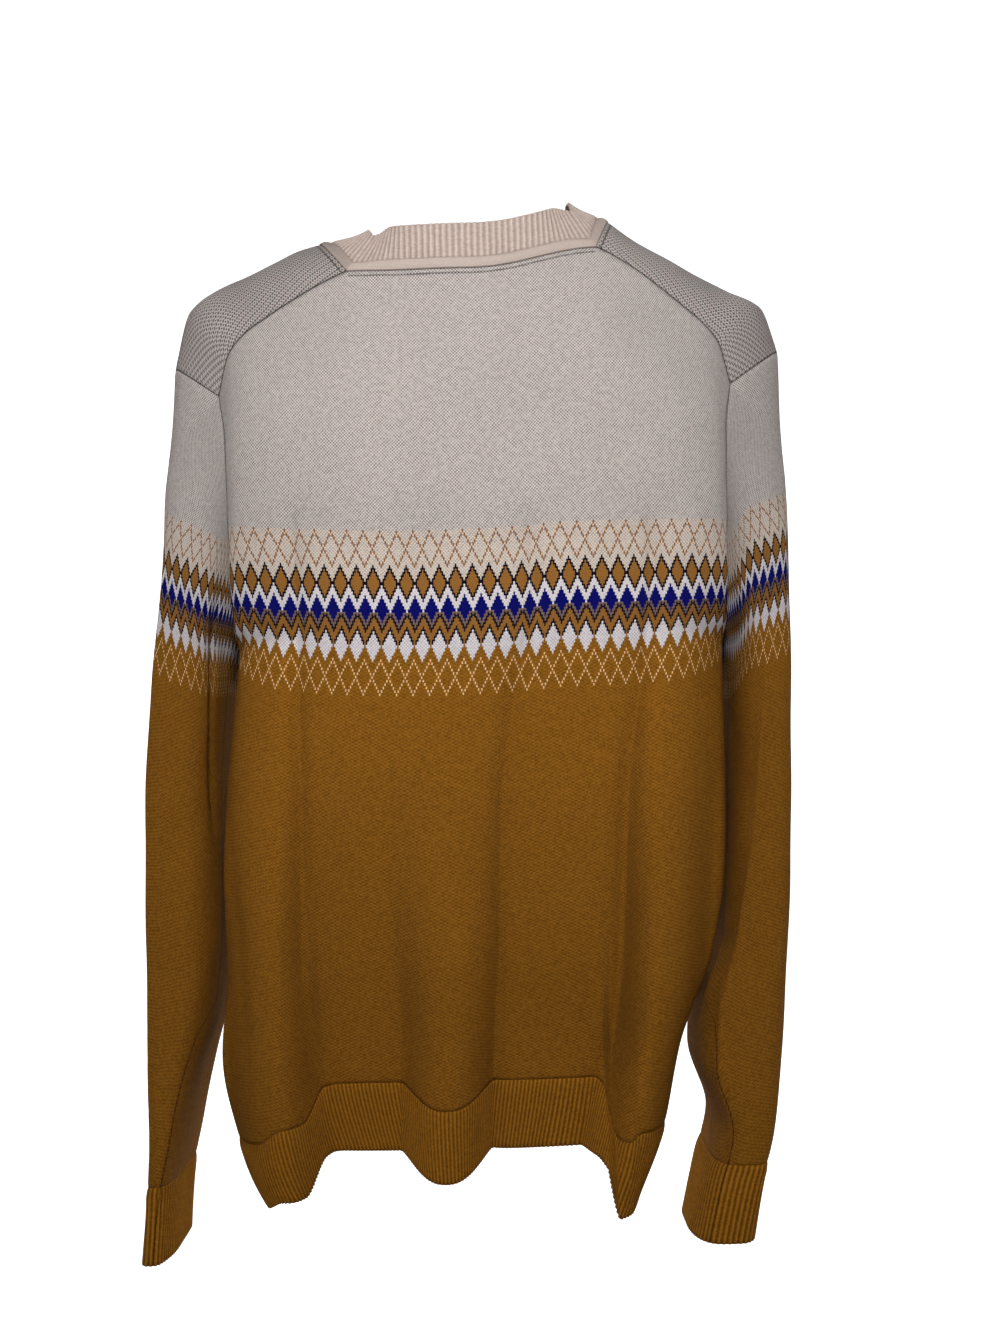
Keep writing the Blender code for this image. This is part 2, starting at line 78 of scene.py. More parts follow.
# Shoulders, by share of the half width: the seams on the back, the ridges on top
# and the same line on the front
SHOULDER_SHARE = [0.49, 0.60, 0.70, 0.80, 0.90, 0.96, 1.00]
SEAM_X = [0.0897, 0.1110, 0.1300, 0.1470, 0.1660, 0.1760, 0.1830]
SEAM_Z = [-0.0267, -0.0370, -0.0480, -0.0600, -0.0740, -0.0885, -0.1180]
SEAM_Y = [-0.045, -0.048, -0.051, -0.053, -0.056, -0.057, -0.058]
RIDGE = {
    "left": {
        "x": [0.1125, 0.1290, 0.1470, 0.1670, 0.1900, 0.2115, 0.2235],
        "z": [0.0020, -0.0025, -0.0110, -0.0205, -0.0302, -0.0465, -0.0890],
    },
    "right": {
        "x": [0.1010, 0.1230, 0.1470, 0.1670, 0.1900, 0.2140, 0.2265],
        "z": [0.0140, -0.0030, -0.0170, -0.0290, -0.0410, -0.0530, -0.0870],
    },
}
FRONT_Z = [-0.016, -0.028, -0.041, -0.054, -0.070, -0.087, -0.118]
FRONT_Y = [0.046, 0.049, 0.052, 0.054, 0.055, 0.055, 0.054]

# Folds hang lower than the cloth between them, below SAG_TOP_Z, and so do the sides.
FOLD_Z = [-0.680, -0.520, -0.400, -0.270]
SAG_TOP_Z = -0.45
SAG_OVER = 0.20
SIDE_X = [
    -0.200, -0.185, -0.166, -0.150, -0.134, -0.122, -0.108,
    0.074, 0.081, 0.089, 0.097, 0.105, 0.135,
]
SIDE_SAG = [
    0.047, 0.045, 0.038, 0.026, 0.024, 0.003, 0.0,
    0.0, 0.005, 0.040, 0.040, 0.034, 0.040,
]
FRONT_SAG_WIDE = (0.07, 0.05)  # how far in from its two sides the front hangs lower
# Each fold: its place at the heights in FOLD_Z, its depth there, its width to the left
# and right at the lowest height and at the third, and how far it sags.
BACK_FOLDS = {
    "left": (
        -0.150, -0.158, -0.158, -0.150,
        0.058, 0.030, 0.010, 0.0,
        0.040, 0.034, 0.030, 0.028, 0.0,
    ),
    "middle": (
        -0.034, -0.028, -0.026, -0.010,
        0.038, 0.020, 0.008, 0.003,
        0.034, 0.034, 0.042, 0.040, 0.015,
    ),
    "right": (
        0.089, 0.124, 0.131, 0.140,
        0.069, 0.040, 0.020, 0.004,
        0.028, 0.036, 0.034, 0.036, 0.0,
    ),
}
FRONT_FOLDS = {
    "left": (
        -0.120, -0.125, -0.125, -0.120,
        0.040, 0.022, 0.009, 0.002,
        0.038, 0.036, 0.040, 0.040, 0.0,
    ),
    "middle": (
        -0.025, -0.015, 0.0, 0.01,
        0.030, 0.018, 0.008, 0.003,
        0.036, 0.040, 0.045, 0.045, 0.010,
    ),
    "right": (
        0.068, 0.095, 0.105, 0.11,
        0.038, 0.020, 0.008, 0.002,
        0.034, 0.036, 0.040, 0.042, 0.0,
    ),
}

# Sleeves, by height: how far out their outer and inner sides are, and where their
# back and front are
SLEEVE_Z = [
    -0.765, -0.700, -0.660, -0.610, -0.570, -0.520,
    -0.470, -0.400, -0.320, -0.200, -0.100,
]
SLEEVE = {
    "left": {
        "outer": [
            0.2595, 0.2525, 0.2495, 0.2515, 0.2515, 0.2515,
            0.2505, 0.2475, 0.2385, 0.2265, 0.227,
        ],
        "inner": [
            0.2405, 0.2360, 0.2275, 0.2160, 0.205, 0.199,
            0.197, 0.195, 0.189, 0.182, 0.181,
        ],
    },
    "right": {
        "outer": [
            0.186, 0.198, 0.207, 0.2145, 0.2175, 0.2205,
            0.2225, 0.224, 0.224, 0.2235, 0.228,
        ],
        "inner": [
            0.139, 0.1555, 0.1655, 0.1525, 0.157, 0.174,
            0.178, 0.182, 0.184, 0.182, 0.181,
        ],
    },
}
SLEEVE_NEAR = [
    -0.034, -0.036, -0.038, -0.040, -0.042, -0.044,
    -0.047, -0.053, -0.062, -0.065, -0.062,
]
SLEEVE_FAR = [0.056, 0.060, 0.068, 0.076, 0.080, 0.086, 0.089, 0.090, 0.086, 0.074, 0.064]
SLEEVE_TURN = 0.004  # the far side of a sleeve stands this much further out than its middle
SLEEVE_ROUND = 0.58  # 1 would make the sleeves' level cuts ellipses, less makes them boxes
SLEEVE_BLEND = (0.025, 0.07)  # the armhole turns into the sleeve over this, below and above

# ---------------------------------------------------------------- looks only
CLOTH = 0.0020  # thickness of the shells
RIB_CLOTH = 0.0016  # of the hem, the cuffs and the strip under the collar
COLLAR_CLOTH = 0.0018
RIB_RISE = 0.0011  # how far a rib stands out of the cloth
WALE = 0.00116  # width of a stitch
ROW = 0.00239  # height of a row of the chart
SUNK = 0.0004  # how far the cloth is drawn in at a seam
SUNK_WIDE = 0.0024  # over this distance from it
TUCK = 0.0013  # how far a piece goes on under its neighbour
BEHIND = 0.0007  # how far behind it the tucked edge lies
COLLAR_BEHIND = 0.0006
NECK_STITCHES = 0.0046  # the row of stitches under the collar
# Where the patterned band starts on the body, by distance from the middle
BAND_X = [-0.177, -0.129, -0.093, -0.058, -0.023, 0.013, 0.035, 0.055, 0.080, 0.160]
BAND_Z = [
    -0.2120, -0.2163, -0.2181, -0.2197, -0.2199,
    -0.2192, -0.2181, -0.2158, -0.2155, -0.2156,
]
# Where it starts on a sleeve, from its outer to its inner edge
BAND_ON_SLEEVE = {
    "left": (-0.1960, -0.2047, -0.2090, -0.2150, -0.2220),
    "right": (-0.1950, -0.1987, -0.2033, -0.2065, -0.2300),
}

# Cells of the shells
SHOULDER_CELLS = 81  # across a shoulder seam
NECK_CELLS = 90  # across the neck, back or front
LOW_CELLS = 100  # between the rib and the underarm
ARM_CELLS = 64  # between the underarm and the shoulder
OVER_CELLS = 44  # over a shoulder, from back to front
SLEEVE_CELLS = 190
CUFF_CELLS = 15
HEM_CELLS = 15
HEM_SHOULDER_CELLS = 216  # 54 ribs
HEM_NECK_CELLS = 264  # 66 ribs
HEM_RIB_CELLS = 4  # cells to a rib of the hem
RIB_CELLS = 5  # cells to a rib of the cuffs and the collar
CUFF_RIBS = 60
COLLAR_RIBS = 150
COLLAR_CELLS = 12
STRIP_BULGE = [0.0004, 0.0009, 0.0013, 0.0015, 0.0014, 0.0011, 0.0006, 0.0]
DENSE = 1601  # points of a panel's dense line
RING_POINTS = 361  # points of a sleeve's dense outline

# Sharp grooves between the folds: place at the heights in FOLD_Z, depth there, half width
BACK_CREASES = {
    "left": (-0.122, -0.134, -0.130, -0.130, 0.0030, 0.0060, 0.0066, 0.0070, 0.0060),
    "middle": (-0.004, 0.008, 0.014, 0.038, 0.0036, 0.0060, 0.0050, 0.0050, 0.0055),
    "right": (0.076, 0.097, 0.103, 0.122, 0.0030, 0.0090, 0.0086, 0.0080, 0.0060),
    "far left": (-0.172, -0.177, -0.188, -0.188, 0.0, 0.0026, 0.0010, 0.0, 0.0050),
}
FRONT_CREASES = {
    "left": (-0.086, -0.092, -0.094, -0.092, 0.0032, 0.0040, 0.0036, 0.0036, 0.0070),
    "middle": (0.020, 0.026, 0.034, 0.040, 0.0020, 0.0036, 0.0028, 0.0020, 0.0060),
    "right": (0.056, 0.064, 0.070, 0.076, 0.0030, 0.0050, 0.0044, 0.0036, 0.0070),
}


def smooth(x, xs, ys):
    """A curve through the points (xs, ys) that never swings past them."""
    xs = np.asarray(xs, float)
    ys = np.asarray(ys, float)
    step = np.diff(xs)
    slope = np.diff(ys) / step
    bend = np.zeros(len(xs))
    bend[0] = slope[0]
    bend[-1] = slope[-1]
    for i in range(1, len(xs) - 1):
        if slope[i - 1] * slope[i] > 0:
            bend[i] = 2 / (1 / slope[i - 1] + 1 / slope[i])
    x = np.clip(np.asarray(x, float), xs[0], xs[-1])
    i = np.clip(np.searchsorted(xs, x) - 1, 0, len(step) - 1)
    t = (x - xs[i]) / step[i]
    rise = ys[i] * (1 + 2 * t) * (1 - t) ** 2 + ys[i + 1] * t * t * (3 - 2 * t)
    return rise + step[i] * t * (1 - t) * (bend[i] * (1 - t) - bend[i + 1] * t)


def ease(x):
    """A soft step from 0 to 1."""
    x = np.clip(x, 0, 1)
    return x * x * (3 - 2 * x)


def even(line, cells):
    """The points that divide a dense line into cells of equal length."""
    length = np.linalg.norm(np.diff(line[:, :3], axis=0), axis=1)
    along = np.concatenate([[0], np.cumsum(length)])
    want = np.linspace(0, along[-1], cells + 1)
    return np.stack([np.interp(want, along, column) for column in line.T], axis=1)


def fold_depth(folds, x, z):
    """How far the folds stand out at x and z, and how far they sag there."""
    total = np.zeros_like(x)
    sag = np.zeros_like(x)
    for row in folds.values():
        centre = smooth(z, FOLD_Z, row[0:4])
        depth = smooth(z, FOLD_Z, row[4:8])
        share = ease((z - FOLD_Z[0]) / (FOLD_Z[2] - FOLD_Z[0]))
        left = row[8] + (row[10] - row[8]) * share
        right = row[9] + (row[11] - row[9]) * share
        away = (x - centre) / np.where(x < centre, left, right)
        profile = (1 - np.clip(np.abs(away), 0, 1) ** 2.4) ** 1.6
        total = total + depth * profile
        sag = sag + row[12] * profile * ease((SAG_TOP_Z - z) / SAG_OVER)
    return total, sag


def crease_depth(creases, x, z):
    """How deep the grooves are at x and z. They fade out above the band."""
    total = np.zeros_like(x)
    for row in creases.values():
        centre = smooth(z, FOLD_Z, row[0:4])
        depth = smooth(z, FOLD_Z, row[4:8]) * ease((-0.18 - z) / 0.06)
        total = total + depth * np.exp(-(np.abs((x - centre) / row[8]) ** 1.4))
    return total


def waves(x, z):
    """Slight unevenness of cloth that hangs free."""
    a = np.sin(x * 61 + 1.3 * np.sin(z * 23)) * np.sin(z * 17 + 0.8)
    b = np.sin(x * 97 - z * 31 + 2.1) * np.sin(z * 41 + x * 12)
    c = np.sin(x * 23 + z * 9 + 0.4)
    return 0.0007 * a + 0.00045 * b + 0.0006 * c


def neck_lift(share):
    """How much higher the neck stands on its +X side."""
    return NECK_LIFT * ease(share / NECK_SHARE) * (1 - ease((share - NECK_SHARE) / 0.45))


def top_edge(side, share):
    """Height and depth of a panel's top edge: its neck, and its shoulder seams."""
    size = np.abs(share)
    in_neck = np.clip(size / NECK_SHARE, 0, 1)
    if side == "back":
        z = smooth(size, SHOULDER_SHARE, SEAM_Z)
        neck = BACK_NECK_Z + (SEAM_Z[0] - BACK_NECK_Z) * in_neck**2
        y = smooth(size, SHOULDER_SHARE, SEAM_Y) - BACK_NECK_BOW * (1 - in_neck**2)
    else:
        z = smooth(size, SHOULDER_SHARE, FRONT_Z)
        neck = FRONT_NECK_Z + (FRONT_Z[0] - FRONT_NECK_Z) * in_neck**2.6
        y = smooth(size, SHOULDER_SHARE, FRONT_Y)
        y = np.where(size < NECK_SHARE, FRONT_Y[0] + 0.030 * (1 - in_neck**2.2), y)
    z = np.where(size < NECK_SHARE, neck, z)
    return z + neck_lift(share) * (1.0 if side == "back" else 0.6 * in_neck), y


def panel_row(side, edge_z, shoulder_cells, neck_cells):
    """A row of a panel from its left to its right edge, which are at the height edge_z.
    It has shoulder_cells under each shoulder and neck_cells under the neck."""
    turn = np.linspace(-math.pi / 2, math.pi / 2, DENSE)
    low = edge_z <= UNDERARM_Z
    square = BODY_SQUARE if low else BODY_SQUARE - 0.4 * ease((edge_z - UNDERARM_Z) / 0.1)
    share = np.sign(np.sin(turn)) * np.abs(np.sin(turn)) ** (2 / square)
    bulge = np.abs(np.cos(turn)) ** (2 / square)
    free = (1 - np.abs(share) ** 2.5) ** 0.2
    if low:
        left = smooth(edge_z, BODY_Z, BODY_LEFT)
        right = smooth(edge_z, BODY_Z, BODY_RIGHT)
        edge_y = smooth(edge_z, BODY_Z, BODY_SIDE_Y)
    else:
        right = smooth(edge_z, ARM_Z, ARM_X)
        left = -right
        edge_y = smooth(edge_z, ARM_Z, ARM_BACK_Y if side == "back" else ARM_FRONT_Y)
    x = (left + right) / 2 + (right - left) / 2 * share
    bow = np.clip((edge_z - LEVEL_BELOW_Z) / (CORNER_Z - LEVEL_BELOW_Z), 0, 1) ** 1.6
    top_z, top_y = top_edge(side, share)
    z = edge_z + (top_z - CORNER_Z) * bow
    sign = -1 if side == "back" else 1
    depth = smooth(z, DEPTH_Z, BACK_DEPTH if side == "back" else FRONT_DEPTH)
    y = edge_y + (sign * depth - edge_y) * bulge
    under = np.clip((top_z - z) / 0.09, 0, 1)
    y = top_y + (y - top_y) * np.sin(under * math.pi / 2)
    fold, sag = fold_depth(BACK_FOLDS if side == "back" else FRONT_FOLDS, x, z)
    y = y + sign * fold * free
    if side == "back":
        low_side = smooth(x, SIDE_X, SIDE_SAG)
    else:
        low_side = smooth(left, SIDE_X, SIDE_SAG) * ease(1 - (x - left) / FRONT_SAG_WIDE[0])
        right_sag = smooth(right, SIDE_X, SIDE_SAG)
        low_side = low_side + right_sag * ease(1 - (right - x) / FRONT_SAG_WIDE[1])
    z = z - sag * free - low_side * ease((SAG_TOP_Z - z) / SAG_OVER)
    crease = crease_depth(BACK_CREASES if side == "back" else FRONT_CREASES, x, z)
    fade = bulge**0.6 * ease((top_z - z) / 0.03)
    y = y - sign * crease * bulge**0.5
    y = y + sign * waves(x + (0.0 if side == "back" else 0.37), z) * fade
    line = np.stack([x, y, z], axis=1)
    a = int(np.argmin(np.abs(share + NECK_SHARE)))
    b = int(np.argmin(np.abs(share - NECK_SHARE)))
    parts = [
        even(line[: a + 1], shoulder_cells),
        even(line[a : b + 1], neck_cells)[1:],
        even(line[b:], shoulder_cells)[1:],
    ]
    return np.concatenate(parts)


def over_shoulder(which, seam, front, cells):
    """Rows from a back shoulder seam over the shoulder's ridge to the front panel."""
    share = np.interp(np.abs(seam[:, 0]), SEAM_X, SHOULDER_SHARE)
    sign = -1 if which == "left" else 1
    ridge_x = smooth(share, SHOULDER_SHARE, RIDGE[which]["x"])
    ridge_z = smooth(share, SHOULDER_SHARE, RIDGE[which]["z"])
    start = math.radians(20)
    rows = []
    for i in range(cells + 1):
        angle = start + (math.pi - 2 * start) * i / cells
        base = seam if angle <= math.pi / 2 else front
        up = (math.sin(angle) - math.sin(start)) / (1 - math.sin(start))
        out = abs(math.cos(angle)) / math.cos(start)
        x = base[:, 0] + (sign * ridge_x - base[:, 0]) * up
        y = base[:, 1] * out
        z = base[:, 2] + (ridge_z - base[:, 2]) * up
        rows.append(np.stack([x, y, z], axis=1))
    return np.array(rows)


# Lengthwise folds of the sleeves. Each: heights, angles there round the sleeve in
# degrees (0 faces the body, 90 the back, 180 outwards), height of the ridge
# (grooves are negative), half width in degrees, lowest and highest z.
SLEEVE_FOLDS = {
    "left": {
        "back ridge": ((-0.70, -0.235), (124, 124), 0.0024, 7, -0.73, -0.20),
        "back groove": (
            (-0.435, -0.415, -0.34, -0.28, -0.20, -0.14),
            (24, 25, 34, 38, 56, 56), -0.0058, 9, -0.46, -0.10,
        ),
        "inner strip": ((-0.43, -0.14), (8, 22), -0.0030, 18, -0.46, -0.10),
        "front groove": ((-0.75, -0.15), (262, 250), -0.0040, 14, -0.70, -0.12),
        "front ridge": ((-0.75, -0.15), (235, 225), 0.0024, 9, -0.76, -0.20),
    },
    "right": {
        "back groove": ((-0.22, -0.12), (10, 50), -0.0050, 9, -0.26, -0.08),
        "back ridge": (
            (-0.64, -0.60, -0.53, -0.50, -0.44, -0.39, -0.34),
            (52, 60, 50, 55, 72, 75, 85), 0.0030, 8, -0.68, -0.27,
        ),
        "faint line": ((-0.47, -0.30), (96, 96), 0.0011, 5, -0.49, -0.27),
        "front groove": ((-0.75, -0.15), (255, 262), -0.0040, 14, -0.70, -0.12),
        "front ridge": ((-0.75, -0.15), (228, 232), 0.0024, 9, -0.76, -0.20),
    },
}
# The seam under the arm: heights, and its angles there.
SEAM_PATH = {
    "left": (
        (-0.771, -0.716, -0.684, -0.663, -0.634, -0.61, -0.58, -0.56, -0.31),
        (88, 83, 74, 70, 66, 58, 48, 12, 2),
    ),
    "right": ((-0.76, -0.64, -0.60, -0.58, -0.565, -0.31), (62, 58, 57, 48, 12, 2)),
}


def sleeve_ring(which, z):
    """The dense outline of the sleeve at each height in z, as arrays with a row for each."""
    size = SLEEVE[which]
    turn = np.linspace(0, 2 * math.pi, RING_POINTS)[None, :]
    z = np.asarray(z)[:, None]
    outer = smooth(z, SLEEVE_Z, size["outer"])
    inner = smooth(z, SLEEVE_Z, size["inner"])
    near = smooth(z, SLEEVE_Z, SLEEVE_NEAR)
    far = smooth(z, SLEEVE_Z, SLEEVE_FAR)
    c = np.cos(turn)
    s = np.sin(turn)
    x = (outer + inner) / 2 - (outer - inner) / 2 * np.sign(c) * np.abs(c) ** SLEEVE_ROUND
    x = x + SLEEVE_TURN * s
    y = (near + far) / 2 - (far - near) / 2 * np.sign(s) * np.abs(s) ** SLEEVE_ROUND
    out = np.zeros_like(x)
    for heights, angles, rise, wide, bottom, top in SLEEVE_FOLDS[which].values():
        place = np.interp(z, heights, angles) + 1.2 * np.sin(z * 31 + wide)
        away = (np.degrees(turn) - place + 180) % 360 - 180
        there = ease((z - bottom) / 0.07) * ease((top - z) / 0.07)
        out = out + rise * there * np.exp(-(np.abs(away / wide) ** 1.7))
    out = out + 0.0006 * np.sin(z * 53 + 3 * s) * np.sin(2 * turn + z * 19)
    return x - out * c * 0.8, y - out * s


def sleeve_rows(which, loop, end_z, cells, start_z=None):
    """Rings of a sleeve, and how far each point is from the seam under the arm. They
    start at the armhole, which is loop, or level at start_z."""
    sign = -1 if which == "left" else 1
    n = len(loop)
    length = np.linalg.norm(np.roll(loop, -1, axis=0) - loop, axis=1)
    along = np.concatenate([[0], np.cumsum(length)])
    share = along[:-1] / along[-1]
    even_share = np.arange(n) / n
    turn = np.degrees(np.linspace(0, 2 * math.pi, RING_POINTS))
    rows = []
    lines = []
    for k in range(cells + 1):
        t = k / cells
        if start_z is None:
            z = loop[:, 2] + (end_z - loop[:, 2]) * t
        else:
            z = np.full(n, start_z + (end_z - start_z) * t)
        place = share + (even_share - share) * (1 if start_z is not None else ease(t * 2))
        ring_x, ring_y = sleeve_ring(which, z)
        step = np.hypot(np.diff(ring_x, axis=1), np.diff(ring_y, axis=1))
        way = np.concatenate([np.zeros((n, 1)), np.cumsum(step, axis=1)], axis=1)
        at = place * way[:, -1]
        x = sign * np.array([np.interp(at[i], way[i], ring_x[i]) for i in range(n)])
        y = np.array([np.interp(at[i], way[i], ring_y[i]) for i in range(n)])
        seam_turn = np.interp(z, *SEAM_PATH[which])
        lines.append(at - np.array([np.interp(seam_turn[i], turn, way[i]) for i in range(n)]))
        if start_z is None:
            high = ease((loop[:, 2] - UNDERARM_Z) / 0.1)
            over = SLEEVE_BLEND[0] + (SLEEVE_BLEND[1] - SLEEVE_BLEND[0]) * high
            blend = np.sin(np.clip((loop[:, 2] - z) / over, 0, 1) * math.pi / 2)
            x = loop[:, 0] + (x - loop[:, 0]) * blend
            y = loop[:, 1] + (y - loop[:, 1]) * blend
        rows.append(np.stack([x, y, z], axis=1))
    return np.array(rows), np.array(lines)


def collar_rows(loop, heights):
    """Rings that stand on the neck loop, at the given distances from it. They stand up
    at the back, and lean inward over the shoulders and at the front. The sides lie a
    little lower than those of the solids, so that they don't show above the back."""
    x, y, _ = loop.T
    corner = 0.45 * ease((np.abs(x) - 0.045) / 0.045)
    reach = 0.045 + 0.030 * ease((y + 0.01) / 0.02)
    side = corner + 0.55 * (1 - np.clip(np.abs(y) / reach, 0, 1) ** 2)
    front = np.clip(y / 0.07, 0, 1) * (1 - side)
    side_up = 0.10 + 0.22 * (x > 0)
    lean = -np.sign(x) * 0.95 * side
    up = np.stack([lean, 0.12 - 0.75 * front, 1 - (1 - side_up) * side], axis=1)
    up = up / np.linalg.norm(up, axis=1)[:, None]
    return np.array([loop + up * h for h in heights])


# ---------------------------------------------------------------- meshes
def close(grid):
    """Rings with their first point repeated at the end."""
    return np.concatenate([grid, grid[:, :1]], axis=1)


def grid_normals(grid, closed=False):
    """The unit normal at each point of a grid."""
    if closed:
        wide = np.concatenate([grid[:, -2:-1], grid, grid[:, 1:2]], axis=1)
        across = (wide[:, 2:] - wide[:, :-2]) / 2
    else:
        across = np.gradient(grid, axis=1)
    normal = np.cross(across, np.gradient(grid, axis=0))
    return normal / np.maximum(np.linalg.norm(normal, axis=2), 1e-12)[..., None]


def lengths(grid, axis):
    """How far each point is along its row or column."""
    step = np.linalg.norm(np.diff(grid, axis=axis), axis=2)
    zero = np.zeros_like(np.take(step, [0], axis=axis))
    return np.concatenate([zero, np.cumsum(step, axis=axis)], axis=axis)


def make_piece(name, grids, material, thickness=CLOTH):
    """One shell from grids of (points, u, v, gap, line). Cells face out, and grids that
    share points are joined there. gap is how far a point is from a sewn edge, and line
    how far it is from a line of stitches."""
    points = []
    quads = []
    uvs = []
    gaps = []
    lines = []
    count = 0
    for grid, u, v, gap, line in grids:
        rows, columns = grid.shape[:2]
        index = count + np.arange(rows * columns).reshape(rows, columns)
        count += rows * columns
        points.append(grid.reshape(-1, 3))
        gaps.append(gap.reshape(-1))
        lines.append(line.reshape(-1))
        quad = np.stack(
            [index[:-1, :-1], index[:-1, 1:], index[1:, 1:], index[1:, :-1]], axis=2
        ).reshape(-1, 4)
        quads.append(quad)
        uvs.append(np.stack([u, v], axis=2).reshape(-1, 2))
    points = np.concatenate(points)
    quads = np.concatenate(quads)
    uvs = np.concatenate(uvs)
    mesh = bpy.data.meshes.new(name)
    mesh.from_pydata(points.tolist(), [], quads.tolist())
    layer = mesh.uv_layers.new(name="knit")
    layer.data.foreach_set("uv", uvs[quads.reshape(-1)].astype(np.float32).reshape(-1))
    for label, values in (("gap", gaps), ("line", lines)):
        attribute = mesh.attributes.new(label, "FLOAT", "POINT")
        attribute.data.foreach_set("value", np.concatenate(values).astype(np.float32))
    work = bmesh.new()
    work.from_mesh(mesh)
    bmesh.ops.remove_doubles(work, verts=work.verts, dist=2e-6)
    work.to_mesh(mesh)
    work.free()
    mesh.shade_smooth()
    piece = bpy.data.objects.new(name, mesh)
    bpy.context.collection.objects.link(piece)
    mesh.materials.append(material)
    wall = piece.modifiers.new("wall", "SOLIDIFY")
    wall.thickness = thickness
    wall.offset = -1
    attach(piece, "root")
    return piece


def edge_gap(grid, bottom=False, top=False, left=False, right=False):
    """How far each point of a grid is from the nearest of its sewn edges."""
    up = lengths(grid, 0)
    across = lengths(grid, 1)
    gap = np.full(up.shape, 0.02)
    for sewn, away in (
        (bottom, up),
        (top, up[-1:] - up),
        (left, across),
        (right, across[:, -1:] - across),
    ):
        if sewn:
            gap = np.minimum(gap, away)
    return gap


def sink(grid, gap, depth, closed=False):
    """Draws the cloth in where it is sewn."""
    drawn = depth * np.exp(-((gap / SUNK_WIDE) ** 2))
    return grid - grid_normals(grid, closed) * drawn[..., None]


# ---------------------------------------------------------------- shader nodes
def colour(r, g, b):
    """A linear colour from one as a screen shows it."""
    parts = []
    for v in (r, g, b):
        v = v / 255
        parts.append(v / 12.92 if v <= 0.04045 else ((v + 0.055) / 1.055) ** 2.4)
    return (*parts, 1)


class Nodes:
    """Short ways to add shader nodes to one material."""

    def __init__(self, name):
        self.material = bpy.data.materials.new(name)
        self.material.use_nodes = True
        self.tree = self.material.node_tree
        self.shader = self.tree.nodes["Principled BSDF"]

    def put(self, socket, value):
        if isinstance(value, bpy.types.NodeSocket):
            self.tree.links.new(value, socket)
        else:
            socket.default_value = value

    def math(self, operation, a, b=0.0, c=0.0):
        node = self.tree.nodes.new("ShaderNodeMath")
        node.operation = operation
        for socket, value in zip(node.inputs, (a, b, c)):
            self.put(socket, value)
        return node.outputs[0]

    def add(self, a, b):
        return self.math("ADD", a, b)

    def sub(self, a, b):
        return self.math("SUBTRACT", a, b)

    def mul(self, a, b):
        return self.math("MULTIPLY", a, b)

    def above(self, a, b):
        return self.math("GREATER_THAN", a, b)

    def below(self, a, b):
        return self.math("LESS_THAN", a, b)

    def near(self, a, b, within=0.5):
        return self.math("COMPARE", a, b, within)

    def both(self, *masks):
        total = masks[0]
        for mask in masks[1:]:
            total = self.math("MULTIPLY", total, mask)
        return total

    def either(self, *masks):
        total = masks[0]
        for mask in masks[1:]:
            total = self.math("MAXIMUM", total, mask)
        return total

    def mix(self, share, a, b):
        node = self.tree.nodes.new("ShaderNodeMix")
        node.data_type = "RGBA"
        node.clamp_factor = True
        self.put(node.inputs[0], share)
        self.put(node.inputs[6], a)
        self.put(node.inputs[7], b)
        return node.outputs[2]

    def uv(self):
        node = self.tree.nodes.new("ShaderNodeUVMap")
        node.uv_map = "knit"
        parts = self.tree.nodes.new("ShaderNodeSeparateXYZ")
        self.tree.links.new(node.outputs[0], parts.inputs[0])
        return parts.outputs[0], parts.outputs[1]

    def vector(self, x, y):
        node = self.tree.nodes.new("ShaderNodeCombineXYZ")
        for socket, value in zip(node.inputs, (x, y)):
            self.put(socket, value)
        return node.outputs[0]

    def random(self, x, y):
        node = self.tree.nodes.new("ShaderNodeTexWhiteNoise")
        node.noise_dimensions = "2D"
        self.put(node.inputs["Vector"], self.vector(x, y))
        return node.outputs["Value"]

    def noise(self, vector, scale, detail):
        node = self.tree.nodes.new("ShaderNodeTexNoise")
        node.inputs["Scale"].default_value = scale
        node.inputs["Detail"].default_value = detail
        node.inputs["Roughness"].default_value = 0.6
        self.put(node.inputs["Vector"], vector)
        return node.outputs[0]

    def place(self):
        node = self.tree.nodes.new("ShaderNodeTexCoord")
        return node.outputs["Object"]

    def attribute(self, label):
        node = self.tree.nodes.new("ShaderNodeAttribute")
        node.attribute_name = label
        return node.outputs["Fac"]

    def thread(self, distance, wide):
        """1 on a line of stitches, 0 beside it."""
        away = self.math("ABSOLUTE", distance)
        share = self.sub(1.5, self.mul(away, 1.5 / wide))
        return self.math("MINIMUM", self.math("MAXIMUM", share, 0.0), 1.0)

    def scale_colour(self, colour_socket, amount):
        node = self.tree.nodes.new("ShaderNodeVectorMath")
        node.operation = "SCALE"
        self.put(node.inputs[0], colour_socket)
        self.put(node.inputs["Scale"], amount)
        return node.outputs[0]

    def finish(self, colour_socket, height, depth):
        """Matt, slightly fuzzy wool of this colour, with the height as bump."""
        self.put(self.shader.inputs["Base Color"], colour_socket)
        self.shader.inputs["Roughness"].default_value = 0.95
        self.shader.inputs["Specular IOR Level"].default_value = 0.05
        self.shader.inputs["Sheen Weight"].default_value = 0.01
        self.shader.inputs["Sheen Roughness"].default_value = 0.55
        self.shader.inputs["Sheen Tint"].default_value = (1.0, 0.95, 0.88, 1)
        bump = self.tree.nodes.new("ShaderNodeBump")
        bump.inputs["Strength"].default_value = 1.0
        bump.inputs["Distance"].default_value = depth
        self.put(bump.inputs["Height"], height)
        self.put(self.shader.inputs["Normal"], bump.outputs[0])
        return self.material


